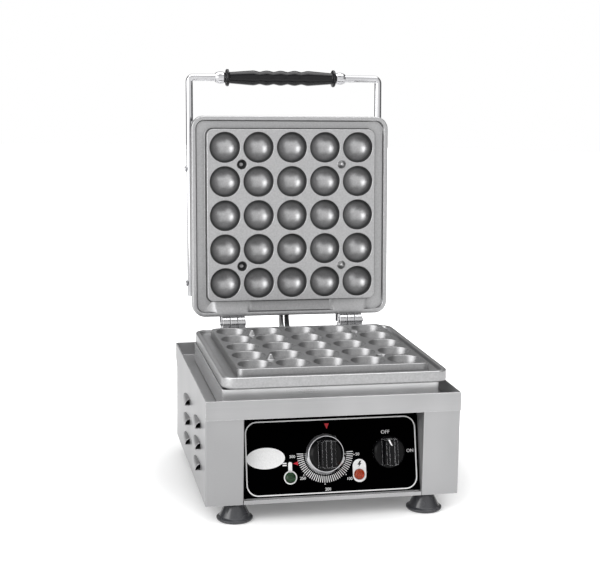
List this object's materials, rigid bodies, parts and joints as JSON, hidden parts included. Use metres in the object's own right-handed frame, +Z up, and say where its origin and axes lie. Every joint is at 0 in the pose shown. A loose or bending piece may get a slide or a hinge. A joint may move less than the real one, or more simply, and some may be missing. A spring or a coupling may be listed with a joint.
{
  "type": "mini waffle maker",
  "caption": "Countertop waffle maker that bakes ball-shaped waffles between hinged cast plates, with a bail handle, a leaning control panel and rubber feet.",
  "frame": {"origin": "on the floor under the middle of the machine's box, with the lid open", "axes": "+Z up, -Y towards the person who uses it, +X to their right"},
  "size_m": [0.311, 0.381, 0.5054],
  "materials": {
    "brushed_steel": "satin",
    "chrome": "polished",
    "coated_casting": "matte non-stick coating",
    "heater_sheath": "oxidised",
    "black_panel": "gloss",
    "black_plastic": "gloss",
    "black_rubber": "matte",
    "dark_bolt": "blackened",
    "pale_insulator": "matte",
    "green_lens": "clear gloss",
    "amber_lens": "clear gloss"
  },
  "bodies": {
    "base": {"base_pan": "brushed_steel", "conduit_gland_body": "brushed_steel", "conduit_left": "chrome", "conduit_right": "chrome", "control_fascia": "black_panel", "cord_inlet": "black_plastic", "foot_bolt_front_left": "dark_bolt", "foot_bolt_front_right": "dark_bolt", "foot_bolt_rear_left": "dark_bolt", "foot_bolt_rear_right": "dark_bolt", "foot_front_left": "black_rubber", "foot_front_right": "black_rubber", "foot_rear_left": "black_rubber", "foot_rear_right": "black_rubber", "hinge_bolt_left": "chrome", "hinge_bolt_right": "chrome", "hinge_bracket_left": "brushed_steel", "hinge_bracket_right": "brushed_steel", "hinge_nut_left": "chrome", "hinge_nut_right": "chrome", "lamp_case_amber": "pale_insulator", "lamp_case_green": "pale_insulator", "lamp_lens_amber": "amber_lens", "lamp_lens_green": "green_lens", "lower_casting": "coated_casting", "lower_element": "heater_sheath", "lower_element_clamp": "brushed_steel", "lower_heat_shield": "brushed_steel", "panel_bracket": "brushed_steel", "rear_panel": "brushed_steel", "riser_box": "brushed_steel", "sensor_bulb": "brushed_steel", "side_panel_left": "brushed_steel", "side_panel_right": "brushed_steel", "switch_case": "pale_insulator", "terminal_block": "pale_insulator", "thermostat_bezel": "chrome", "thermostat_case": "pale_insulator", "top_tray": "brushed_steel"},
    "lid": {"upper_casting": "coated_casting", "upper_element": "heater_sheath", "upper_element_clamp": "brushed_steel", "upper_heat_shield": "brushed_steel", "lid_cover": "brushed_steel", "hinge_leaf_left": "brushed_steel", "hinge_leaf_right": "brushed_steel", "conduit_gland_lid": "brushed_steel", "handle_rod": "chrome", "handle_grip": "black_plastic", "handle_ferrule_left": "chrome", "handle_ferrule_right": "chrome", "handle_screw_left_low": "chrome", "handle_screw_left_high": "chrome", "handle_screw_right_low": "chrome", "handle_screw_right_high": "chrome"},
    "thermostat_dial": {"thermostat_knob": "black_plastic", "thermostat_shaft": "brushed_steel"},
    "switch_dial": {"switch_knob": "black_plastic", "switch_shaft": "brushed_steel"}
  },
  "joints": [
    {"name": "lid_hinge", "type": "hinge", "parent": "base", "child": "lid", "pos_m": [0.006, 0.10657, 0.17215], "axis": [1, 0, 0], "range_deg": [0, 94], "deforming": ["conduit_left", "conduit_right"]},
    {"name": "thermostat_turn", "type": "hinge", "parent": "base", "child": "thermostat_dial", "pos_m": [-0.0075, -0.1645, 0.07176], "axis": [0, -0.9673, 0.2538], "range_deg": [-270, 0]},
    {"name": "switch_turn", "type": "hinge", "parent": "base", "child": "switch_dial", "pos_m": [0.068, -0.16476, 0.07079], "axis": [0, -0.9673, 0.2538], "range_deg": [-90, 0]}
  ]
}
